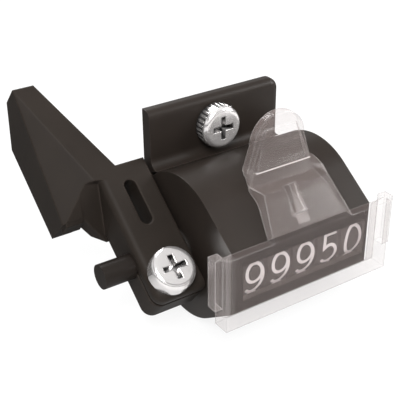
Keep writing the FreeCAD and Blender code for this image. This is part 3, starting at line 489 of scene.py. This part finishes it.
@dataclass(frozen=True)
class Metal:
    """Bare or plated metal with faint marks from its making, and painted shade in its recesses."""

    name: str
    colour: Colour
    roughness: float
    marks: float = 0.04
    stretch: Triple = (1.0, 1.0, 1.0)
    edge: float = 0.12 * MM
    metallic: float = 1.0
    cloud_scale: float = 500.0
    marks_scale: float = 1500.0
    grain: float = 0.0015 * MM
    near_edge: float = 0.04
    dull: float = 0.86
    # The painted shade in recesses: how dark, and how far away their walls may be.
    shade: float = 0.1
    hollow: float = 0.8 * MM

    def make(self) -> bpy.types.Material:
        """Build the material."""
        recipe = Recipe(self.name)
        normal, near_edge = recipe.soft_edges(self.edge)
        cloud = recipe.noise(self.cloud_scale)
        lines = recipe.noise(self.marks_scale, stretch=self.stretch)
        bright = recipe.blend(cloud, scaled(self.colour, self.dull), self.colour)
        return recipe.surface({
            # Painted shade: the colour darkens deep in recesses.
            "Base Color": recipe.blend(recipe.hollows(self.hollow), bright, scaled(self.colour, self.shade)),
            "Metallic": self.metallic,
            "Roughness": self.roughness + lines * self.marks + near_edge * self.near_edge,
            "Normal": recipe.bump(lines, self.grain, normal),
        })


@dataclass(frozen=True)
class FlutedPlate:
    """Bright plate on a screw whose head has fine ribs round its side, with painted shade in the grooves
    between them.

    The grooves lie outside the ring, behind the face. Both limits fade in at their own rates.
    """

    name: str
    plate: Metal
    face_y: float = -3.75 * MM
    face_fade: float = 5000.0
    ring: float = 2.85 * MM
    ring_fade: float = 2.0e6
    # How strong the painted shade in the grooves between the ribs is.
    groove_mean: float = 0.25
    groove_swing: float = 0.9

    def make(self) -> bpy.types.Material:
        """Build the material."""
        recipe = Recipe(self.name)
        plate = self.plate
        normal, near_edge = recipe.soft_edges(plate.edge)
        x, y, z = recipe.axes()
        angle = recipe.node("ShaderNodeMath", {"operation": "ARCTAN2"}, {0: z, 1: x})
        wave = recipe.node("ShaderNodeMath", {"operation": "COSINE"}, {0: angle * float(FLUTES)})
        outside = ((x * x + z * z - self.ring ** 2) * self.ring_fade).clamped()
        outside = outside * ((y - self.face_y) * self.face_fade).clamped()
        groove_shade = (self.groove_mean - wave * self.groove_swing).clamped() * outside
        cloud = recipe.noise(plate.cloud_scale)
        bright = recipe.blend(cloud, scaled(plate.colour, plate.dull), plate.colour)
        # Painted shade in the grooves and deep in recesses.
        dark = (groove_shade + recipe.hollows(plate.hollow)).clamped()
        return recipe.surface({
            "Base Color": recipe.blend(dark, bright, scaled(plate.colour, plate.shade)),
            "Metallic": plate.metallic,
            "Roughness": plate.roughness + cloud * plate.marks + near_edge * plate.near_edge,
            "Normal": normal,
        })


@dataclass(frozen=True)
class NaturalWhite:
    """White bearing plastic with a soft sheen."""

    name: str
    colour: Colour = (0.72, 0.70, 0.65)
    dull: float = 0.9
    cloud_scale: float = 700.0
    roughness: float = 0.4
    uneven: float = 0.12
    edge: float = 0.08 * MM
    grain: float = 0.004 * MM

    def make(self) -> bpy.types.Material:
        """Build the material."""
        recipe = Recipe(self.name)
        normal, _ = recipe.soft_edges(self.edge)
        cloud = recipe.noise(self.cloud_scale)
        return recipe.surface({
            "Base Color": recipe.blend(cloud, scaled(self.colour, self.dull), self.colour),
            "Roughness": self.roughness + cloud * self.uneven,
            "Normal": recipe.bump(cloud, self.grain, normal),
        })


class Finish(Enum):
    """Every finish on the counter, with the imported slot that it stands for."""

    HOUSING = ("black_moulding", MouldedBlack("housing_black"))
    # The lever's wide edge rounding also widens its painted edge highlight.
    LEVER = ("black_moulding", MouldedBlack(
        "lever_black", colour=(0.0165, 0.0127, 0.0102), roughness=0.52, gloss=0.1, edge=0.45 * MM))
    WHEEL = ("wheel_moulding", MouldedBlack(
        "wheel_black", colour=(0.013, 0.0105, 0.009), roughness=0.6, gloss=0.12))
    INK = ("wheel_moulding", PrintedPale("numeral_ink"))
    CLEAR = ("clear_moulding", ClearMoulding("cover_clear"))
    PLATE = ("bright_screw", Metal(
        "bright_plate", (0.90, 0.87, 0.86), 0.15, metallic=0.85, edge=0.22 * MM))
    FLUTED = ("bright_screw", FlutedPlate("fluted_plate", Metal(
        "fluted_plate", (0.93, 0.90, 0.89), 0.17, metallic=0.8, edge=0.22 * MM)))
    SHAFT = ("black_steel", MouldedBlack(
        "blackened_steel", colour=(0.0135, 0.0105, 0.0088), roughness=0.36, gloss=0.12))
    STEEL = ("steel", Metal("plain_steel", (0.56, 0.55, 0.54), 0.26, stretch=(8.0, 1.0, 1.0)))
    SPRING = ("spring_steel", Metal("spring_steel", (0.42, 0.42, 0.44), 0.22))
    BUSH = ("black_moulding", MouldedBlack("bush_black", colour=(0.012, 0.0098, 0.0085), roughness=0.5))
    WHITE = ("white_moulding", NaturalWhite("white_bearing_plastic"))


class Paintbox:
    """Makes each finish once and puts it on pieces."""

    def __init__(self) -> None:
        """Start with no material made."""
        self.made: dict[Finish, bpy.types.Material] = {}

    def material(self, finish: Finish) -> bpy.types.Material:
        """Give a finish's material.

        Args:
            finish: which finish.

        Returns:
            Its material, made on first use.
        """
        if finish not in self.made:
            self.made[finish] = finish.value[1].make()
        return self.made[finish]

    def dress(self, nodes: Iterable[str], finish: Finish) -> None:
        """Put a finish on solids of the frame.

        Args:
            nodes: their names.
            finish: which finish.
        """
        for name in nodes:
            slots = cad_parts[name].data.materials
            slots.clear()
            slots.append(self.material(finish))
            LOG.info("%s: %s", name, finish.name.lower())

    def add(self, name: str, mesh: bpy.types.Mesh, finish: Finish, body: str) -> bpy.types.Object:
        """Add a new piece.

        Args:
            name: the piece's name.
            mesh: its mesh, in the frame.
            finish: which finish.
            body: the body that it rides on.

        Returns:
            The piece.
        """
        mesh.materials.clear()
        mesh.materials.append(self.material(finish))
        piece = bpy.data.objects.new(name, mesh)
        bpy.context.scene.collection.objects.link(piece)
        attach(piece, body)
        LOG.info("%s: %d faces, on %s", name, len(mesh.polygons), body)
        return piece


@dataclass
class Stroke:
    """One line of a numeral, in a box one wide and one high."""

    points: list[Point] = field(default_factory=list)

    def line(self, *points: Point) -> "Stroke":
        """Go on in straight lines.

        Args:
            points: the corners to pass.

        Returns:
            The stroke itself.
        """
        for end in points:
            if not self.points:
                self.points.append(end)
                continue
            start = self.points[-1]
            steps = max(1, round(LINE_STEPS * math.hypot(end[0] - start[0], end[1] - start[1])))
            for step in range(1, steps + 1):
                part = step / steps
                self.points.append((start[0] + (end[0] - start[0]) * part,
                                    start[1] + (end[1] - start[1]) * part))
        return self

    def arc(self, centre: Point, reach: Point, start: float, end: float) -> "Stroke":
        """Go on along part of an ellipse.

        Args:
            centre: its middle.
            reach: its half width and half height.
            start: the first angle in degrees.
            end: the last angle in degrees.

        Returns:
            The stroke itself.
        """
        steps = max(ARC_LEAST, round(abs(end - start) / ARC_STEP))
        first = 1 if self.points else 0
        for step in range(first, steps + 1):
            angle = math.radians(start + (end - start) * step / steps)
            self.points.append((centre[0] + reach[0] * math.cos(angle),
                                centre[1] + reach[1] * math.sin(angle)))
        return self

    def turned(self) -> "Stroke":
        """The same stroke turned upside down."""
        return Stroke([(-x, -y) for x, y in self.points])


@dataclass
class NumberWheels:
    """The numerals on the five number wheels.

    They sit a shift to the right of each wheel's middle, and the shown one sits a drop below the wheel's
    foremost line. Each further stroke of a numeral stands out a layer step more, so that no two tops share a
    surface where they cross.
    """

    paint: Paintbox
    bodies: tuple[str, ...] = ("ten_thousands", "thousands", "hundreds", "tens", "units")
    shown: tuple[int, ...] = (9, 9, 9, 5, 0)
    axis_y: float = -12.79 * MM
    axis_z: float = -12.9 * MM
    radius: float = 8.0 * MM
    wide: float = 2.62 * MM
    high: float = 4.7 * MM
    stroke: float = 0.49 * MM
    shift: float = 0.40 * MM
    drop: float = 0.78 * MM
    relief: float = 0.03 * MM
    layer_step: float = 0.1
    sink: float = 0.12 * MM

    def numeral(self, digit: int) -> list[Stroke]:
        """Draw a numeral.

        Args:
            digit: from 0 to 9.

        Returns:
            Its strokes.
        """
        nine = [Stroke().arc((-0.03, 0.19), (0.47, 0.31), 0, 360),
                Stroke().arc((-0.08, 0.05), (0.58, 0.55), 25, -130)]
        drawn = {
            0: [Stroke().arc((0, 0), (0.5, 0.5), 0, 360)],
            1: [Stroke().line((-0.25, 0.28), (0.08, 0.5), (0.08, -0.5))],
            2: [Stroke().arc((0, 0.2), (0.46, 0.3), 165, -25).line((-0.47, -0.5), (0.48, -0.5))],
            3: [Stroke().arc((-0.02, 0.25), (0.42, 0.25), 150, -90),
                Stroke().arc((-0.02, -0.24), (0.48, 0.26), 90, -150)],
            4: [Stroke().line((0.22, -0.5), (0.22, 0.5), (-0.5, -0.2), (0.5, -0.2))],
            5: [Stroke().line((0.46, 0.5), (-0.3, 0.5), (-0.4, 0.02))
                .arc((-0.02, -0.18), (0.48, 0.32), 132, -145)],
            6: [stroke.turned() for stroke in nine],
            7: [Stroke().line((-0.48, 0.5), (0.46, 0.5), (-0.12, -0.5))],
            8: [Stroke().arc((0, 0.25), (0.4, 0.25), 0, 360), Stroke().arc((0, -0.24), (0.48, 0.26), 0, 360)],
            9: nine,
        }
        return drawn[digit]

    def ribbon(self, shape: bmesh.types.BMesh, stroke: Stroke, middle_x: float, angle: float,
               lift: float) -> None:
        """Lay a stroke round the wheel as a thin raised band.

        Args:
            shape: the mesh that it is added to.
            stroke: the stroke.
            middle_x: the middle of the wheel.
            angle: how far up from the front the numeral sits, in radians.
            lift: how far the ink stands out.
        """
        path = [Vector((x * self.wide, y * self.high)) for x, y in stroke.points]
        closed = (path[0] - path[-1]).length < CLOSED
        if closed:
            path = path[:-1]
        count = len(path)
        rows = []
        for index, point in enumerate(path):
            before = path[index - 1] if closed or index else point
            after = path[(index + 1) % count] if closed or index < count - 1 else point
            along = (after - before).normalized()
            across = Vector((-along.y, along.x)) * self.stroke / 2
            row = []
            for side, height in ((-1, -self.sink), (-1, lift), (1, lift), (1, -self.sink)):
                flat = point + across * side
                turn = angle + flat.y / self.radius
                reach = self.radius + height
                row.append(shape.verts.new((middle_x + flat.x, self.axis_y - reach * math.cos(turn),
                                            self.axis_z + reach * math.sin(turn))))
            rows.append(row)
        pairs = list(zip(rows, rows[1:] + rows[:1])) if closed else list(zip(rows, rows[1:]))
        for first, second in pairs:
            for here in range(len(first)):
                there = (here + 1) % len(first)
                shape.faces.new((first[here], first[there], second[there], second[here]))
        if not closed:
            shape.faces.new(rows[0][::-1])
            shape.faces.new(rows[-1])

    def build(self) -> None:
        """Print all ten numerals on each wheel."""
        for body, shown in zip(self.bodies, self.shown):
            low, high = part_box(body + "_wheel")
            middle_x = (low[0] + high[0]) / 2 + self.shift
            shape = bmesh.new()
            for digit in range(DIGITS):
                angle = math.radians(360 / DIGITS * (digit - shown)) - self.drop / self.radius
                for layer, stroke in enumerate(self.numeral(digit)):
                    lift = self.relief * (1 + self.layer_step * layer)
                    self.ribbon(shape, stroke, middle_x, angle, lift)
            bmesh.ops.recalc_face_normals(shape, faces=shape.faces)
            mesh = bpy.data.meshes.new(body + "_numerals")
            shape.to_mesh(mesh)
            shape.free()
            self.paint.add(body + "_numerals", mesh, Finish.INK, body)
        self.paint.dress([body + "_wheel" for body in self.bodies], Finish.WHEEL)


class Tree:
    """A Geometry Nodes tree that is built by hand and turned into a plain mesh."""

    def __init__(self, name: str, sizes: dict[str, float]) -> None:
        """Start a tree with one named input for each size.

        Args:
            name: the tree's name.
            sizes: the inputs and their values.
        """
        self.group = bpy.data.node_groups.new(name, "GeometryNodeTree")
        self.sizes = sizes
        face = self.group.interface
        for label, value in sizes.items():
            kind = "NodeSocketInt" if isinstance(value, int) else "NodeSocketFloat"
            face.new_socket(label, in_out="INPUT", socket_type=kind)
        face.new_socket("Geometry", in_out="OUTPUT", socket_type="NodeSocketGeometry")
        self.given = self.group.nodes.new("NodeGroupInput")

    def node(self, kind: str, sockets: dict) -> bpy.types.Node:
        """Add one node.

        Args:
            kind: the node's type.
            sockets: for each input a value, another node's output, or the name of one of the sizes.

        Returns:
            The node.
        """
        node = self.group.nodes.new(kind)
        for key, value in sockets.items():
            if isinstance(value, str):
                value = self.given.outputs[value]
            if isinstance(value, bpy.types.NodeSocket):
                self.group.links.new(value, node.inputs[key])
            else:
                node.inputs[key].default_value = value
        return node

    def mesh(self, last: bpy.types.NodeSocket, material: bpy.types.Material) -> bpy.types.Mesh:
        """End the tree, run it and give its result as a mesh.

        Args:
            last: the geometry to keep.
            material: what it is made of.

        Returns:
            The mesh.
        """
        whole = self.node("GeometryNodeRealizeInstances", {0: last})
        dressed = self.node("GeometryNodeSetMaterial", {"Geometry": whole.outputs[0], "Material": material})
        end = self.group.nodes.new("NodeGroupOutput")
        self.group.links.new(dressed.outputs[0], end.inputs[0])
        host = bpy.data.objects.new(self.group.name, bpy.data.meshes.new(self.group.name))
        bpy.context.scene.collection.objects.link(host)
        modifier = host.modifiers.new("Tree", "NODES")
        modifier.node_group = self.group
        for item in self.group.interface.items_tree:
            if item.in_out == "INPUT":
                modifier[item.identifier] = self.sizes[item.name]
        graph = bpy.context.evaluated_depsgraph_get()
        result = bpy.data.meshes.new_from_object(host.evaluated_get(graph))
        host.modifiers.remove(modifier)
        bpy.data.objects.remove(host)
        return result


@dataclass
class PanScrew:
    """Fluted head and thread of one bright screw whose solid is in the frame.

    With no flutes, and with no thread to be seen, the solid only gets its finish.
    """

    paint: Paintbox
    node: str
    body: str
    head_base: Vector
    outward: Vector
    head_radius: float = 3.1 * MM
    flutes: int = 0
    flute_radius: float = 0.11 * MM
    flute_length: float = 1.5 * MM
    flute_sides: int = 8
    flute_sink: float = 0.04 * MM
    flute_rise: float = 0.1 * MM
    thread_radius: float = 1.5 * MM
    thread_pitch: float = 0.5 * MM
    thread_length: float = 0.0
    thread_steps: int = 24
    thread_sink: float = 0.08 * MM
    thread_gap: float = 0.2 * MM
    ridge: float = 0.17 * MM

    def seat(self) -> Matrix:
        """The matrix that puts the screw's own Z on its axis."""
        turn = self.outward.to_track_quat("Z", "Y").to_matrix().to_4x4()
        return Matrix.Translation(self.head_base) @ turn

    def flute_mesh(self) -> bpy.types.Mesh:
        """Thin upright ribs all round the side of the head."""
        tree = Tree(self.node + "_flutes", {
            "Count": self.flutes, "Ring": self.head_radius - self.flute_sink,
            "Rib": self.flute_radius, "Length": self.flute_length})
        ring = tree.node("GeometryNodeMeshCircle", {"Vertices": "Count", "Radius": "Ring"})
        rib = tree.node("GeometryNodeMeshCylinder", {
            "Vertices": self.flute_sides, "Radius": "Rib", "Depth": "Length"})
        placed = tree.node("GeometryNodeInstanceOnPoints", {
            "Points": ring.outputs[0], "Instance": rib.outputs[0]})
        return tree.mesh(placed.outputs[0], self.paint.material(Finish.PLATE))

    def thread_mesh(self) -> bpy.types.Mesh:
        """A sharp ridge wound along the shank."""
        tree = Tree(self.node + "_thread", {
            "Turns": self.thread_length / self.thread_pitch, "Reach": self.thread_radius - self.thread_sink,
            "Length": self.thread_length, "Ridge": self.ridge})
        coil = tree.node("GeometryNodeCurveSpiral", {
            "Resolution": self.thread_steps, "Rotations": "Turns", "Height": "Length",
            "Start Radius": "Reach", "End Radius": "Reach"})
        ridge = tree.node("GeometryNodeCurvePrimitiveCircle", {"Resolution": 3, "Radius": "Ridge"})
        wound = tree.node("GeometryNodeCurveToMesh", {
            "Curve": coil.outputs[0], "Profile Curve": ridge.outputs[0], "Fill Caps": True})
        return tree.mesh(wound.outputs[0], self.paint.material(Finish.PLATE))

    def build(self) -> None:
        """Add the flutes, and the thread where the shank stands out behind the flange."""
        seat = self.seat()
        if self.flutes:
            flutes = self.flute_mesh()
            flutes.transform(seat @ Matrix.Translation((0, 0, self.flute_rise + self.flute_length / 2)))
            self.paint.add(self.node + "_flutes", flutes, Finish.PLATE, self.body)
        if self.thread_length:
            thread = self.thread_mesh()
            foot = -FLANGE - self.thread_length - self.thread_gap
            thread.transform(seat @ Matrix.Translation((0, 0, foot)))
            self.paint.add(self.node + "_thread", thread, Finish.PLATE, self.body)
        self.paint.dress([self.node], Finish.FLUTED if self.flutes else Finish.PLATE)


@dataclass
class Housing:
    """The drum housing with what is fixed in and on it."""

    paint: Paintbox
    pinions: int = 4
    thread_length: float = 4.4 * MM

    def build(self) -> None:
        """Dress the housing, its screws and its inner plates."""
        self.paint.dress(["housing", "side_plate"], Finish.HOUSING)
        self.paint.dress(["upper_plate_screw", "lower_plate_screw"], Finish.PLATE)
        self.paint.dress(["carrier_rod"], Finish.STEEL)
        self.paint.dress(["detent_spring"], Finish.SPRING)
        self.paint.dress(["shaft_bush"], Finish.BUSH)
        for number in range(1, self.pinions + 1):
            self.paint.dress([f"pinion_carrier_{number}", f"carry_pinion_{number}"], Finish.WHITE)
        PanScrew(self.paint, "fixing_screw", "frame", Vector((0, -FLANGE, 0)), Vector((0, -1, 0)),
                 flutes=FLUTES, thread_length=self.thread_length).build()


@dataclass
class WindowCover:
    """The clear cover over the numerals."""

    paint: Paintbox

    def build(self) -> None:
        """Dress the cover."""
        self.paint.dress(["window_cover"], Finish.CLEAR)


@dataclass
class Lever:
    """The drive lever with what turns with it."""

    paint: Paintbox
    tilt: float = math.radians(38.3)
    shaft: Point = (-9.3 * MM, -13.5 * MM)
    clamp_x: float = -15.4 * MM
    clamp_distance: float = 3.5 * MM
    bar_half: float = 3.1 * MM

    def build(self) -> None:
        """Dress the lever, its shaft and its drive parts."""
        self.paint.dress(["drive_lever"], Finish.LEVER)
        self.paint.dress(["lever_shaft"], Finish.SHAFT)
        self.paint.dress(["clamp_nut"], Finish.PLATE)
        self.paint.dress(["return_spring"], Finish.SPRING)
        self.paint.dress(["rocker_plate", "pawl_pin", "drive_pawl"], Finish.STEEL)
        self.paint.dress(["wheel_shaft", "ratchet_wheel"], Finish.STEEL)
        along = Vector((0, math.cos(self.tilt), math.sin(self.tilt)))
        out = Vector((0, -math.sin(self.tilt), math.cos(self.tilt)))
        base = Vector((self.clamp_x, *self.shaft)) - along * self.clamp_distance + out * self.bar_half
        PanScrew(self.paint, "clamp_screw", "lever", base, out).build()


@dataclass(frozen=True)
class Lamp:
    """A soft square lamp, its side in metres and its power in watts."""

    name: str
    place: Triple
    side: float
    power: float

    def hang(self, target: Vector) -> None:
        """Add the lamp.

        Args:
            target: what it is aimed at.
        """
        data = bpy.data.lights.new(self.name, "AREA")
        data.shape = "SQUARE"
        data.size = self.side
        data.energy = self.power
        lamp = bpy.data.objects.new(self.name, data)
        lamp.location = Vector(self.place)
        lamp.rotation_euler = (target - lamp.location).to_track_quat("-Z", "Y").to_euler()
        bpy.context.scene.collection.objects.link(lamp)


@dataclass
class Studio:
    """Floor, world, lamps and camera.

    The bands are the heights and greys that a reflection finds in the surround, from the horizon up. In
    reflections the floor turns dark from just behind the frame's origin forwards.
    """

    eye: Vector = field(default_factory=lambda: Vector((-66.41, -98.98, 53.69)) * MM)
    right: Vector = field(default_factory=lambda: Vector((0.8327, -0.5537, -0.0083)))
    up: Vector = field(default_factory=lambda: Vector((0.2781, 0.4052, 0.8709)))
    lens: float = 81.25
    sensor: float = 36.0
    near: float = 0.005
    far: float = 50.0
    ambient: float = 0.5
    bands: tuple[Point, ...] = (
        (0.0, 0.05), (0.16, 0.07), (0.24, 0.85), (0.42, 0.95), (0.5, 0.2), (0.66, 0.12), (0.78, 0.7))
    floor_gap: float = 0.3 * MM
    floor_half: float = 3.0
    floor_cloud: float = 3.0
    floor_greys: Point = (0.80, 0.82)
    front_start: float = 0.2
    front_rate: float = 40.0
    front_grey: float = 0.1
    seen_glow: float = 0.86
    glossy_glow: float = 0.9
    target: Vector = field(default_factory=lambda: Vector((-4, -12, -8)) * MM)
    lamps: tuple[Lamp, ...] = (
        Lamp("key", (-0.16, -0.22, 0.30), 0.16, 1.9),
        Lamp("fill", (0.30, -0.16, 0.18), 0.20, 1.2),
        Lamp("back", (0.02, 0.30, 0.30), 0.20, 1.8))

    def camera(self) -> None:
        """Stand where the photograph was taken."""
        data = bpy.data.cameras.new("photo_view")
        data.lens = self.lens
        data.sensor_width = self.sensor
        data.clip_start = self.near
        data.clip_end = self.far
        camera = bpy.data.objects.new("photo_view", data)
        right = self.right.normalized()
        up = (self.up - right * self.up.dot(right)).normalized()
        back = right.cross(up)
        turn = Matrix((right, up, back)).transposed().to_4x4()
        camera.matrix_world = Matrix.Translation(self.eye) @ turn
        bpy.context.scene.collection.objects.link(camera)
        bpy.context.scene.camera = camera

    def world(self) -> None:
        """White for the camera and through clear plastic, bands for reflections, grey for the rest."""
        world = bpy.data.worlds.new("surround")
        bpy.context.scene.world = world
        recipe = Recipe("surround", world)
        seen = recipe.node("ShaderNodeLightPath", {}, {}, "Is Camera Ray")
        glossy = recipe.node("ShaderNodeLightPath", {}, {}, "Is Glossy Ray")
        through = recipe.node("ShaderNodeLightPath", {}, {}, "Is Transmission Ray")
        white = (seen + through).clamped()
        toward = recipe.node("ShaderNodeTexCoord", {}, {}, "Generated")
        height = recipe.node("ShaderNodeSeparateXYZ", {}, {"Vector": toward}, "Z")
        stops = [(place, grey(level)) for place, level in self.bands]
        bands = recipe.node("ShaderNodeValToRGB", {"stops": stops}, {"Fac": height})
        plain = self.ambient + white * (1.0 - self.ambient)
        light = recipe.blend(glossy, plain, bands)
        sky = recipe.node("ShaderNodeBackground", {}, {"Color": light, "Strength": 1.0})
        recipe.node("ShaderNodeOutputWorld", {}, {"Surface": sky})

    def floor_paint(self) -> bpy.types.Material:
        """White for the camera, with the lamps' shadows on it, and dark in reflections of its front."""
        recipe = Recipe("floor_white")
        seen = recipe.node("ShaderNodeLightPath", {}, {}, "Is Camera Ray")
        glossy = recipe.node("ShaderNodeLightPath", {}, {}, "Is Glossy Ray")
        cloud = recipe.noise(self.floor_cloud, detail=2.0)
        paint = recipe.blend(cloud, grey(self.floor_greys[0]), grey(self.floor_greys[1]))
        matt = recipe.node("ShaderNodeBsdfDiffuse", {}, {"Color": paint})
        depth = recipe.node("ShaderNodeSeparateXYZ", {}, {"Vector": recipe.place()}, "Y")
        front = (self.front_start - depth * self.front_rate).clamped()
        mirrored = recipe.blend(front, grey(self.front_grey), grey(1.0))
        shown = recipe.blend(glossy, grey(1.0), mirrored)
        glow = recipe.node("ShaderNodeEmission", {}, {"Color": shown, "Strength": 1.0})
        share = seen * self.seen_glow + glossy * self.glossy_glow
        mixed = recipe.node("ShaderNodeMixShader", {}, {0: share, 1: matt, 2: glow})
        recipe.node("ShaderNodeOutputMaterial", {}, {"Surface": mixed})
        return recipe.owner

    def floor(self) -> None:
        """A plain pale floor just under the counter."""
        low = CAD_BOX[0][2] - self.floor_gap
        shape = bmesh.new()
        bmesh.ops.create_grid(shape, x_segments=1, y_segments=1, size=self.floor_half)
        bmesh.ops.translate(shape, verts=shape.verts, vec=(0, 0, low))
        mesh = bpy.data.meshes.new("floor")
        shape.to_mesh(mesh)
        shape.free()
        mesh.materials.append(self.floor_paint())
        floor = bpy.data.objects.new("floor", mesh)
        bpy.context.scene.collection.objects.link(floor)

    def build(self) -> None:
        """Set up the whole studio."""
        bpy.context.scene.view_settings.view_transform = "Standard"
        self.camera()
        self.world()
        self.floor()
        for lamp in self.lamps:
            lamp.hang(self.target)
        LOG.info("studio set")


def main() -> None:
    """Dress the counter and set up the studio, in order."""
    logging.basicConfig(level=logging.INFO, format="%(message)s")
    for leftover in list(bpy.data.lights):
        bpy.data.lights.remove(leftover)
    paint = Paintbox()
    Housing(paint).build()
    NumberWheels(paint).build()
    WindowCover(paint).build()
    Lever(paint).build()
    Studio().build()


if __name__ == "__main__":
    main()
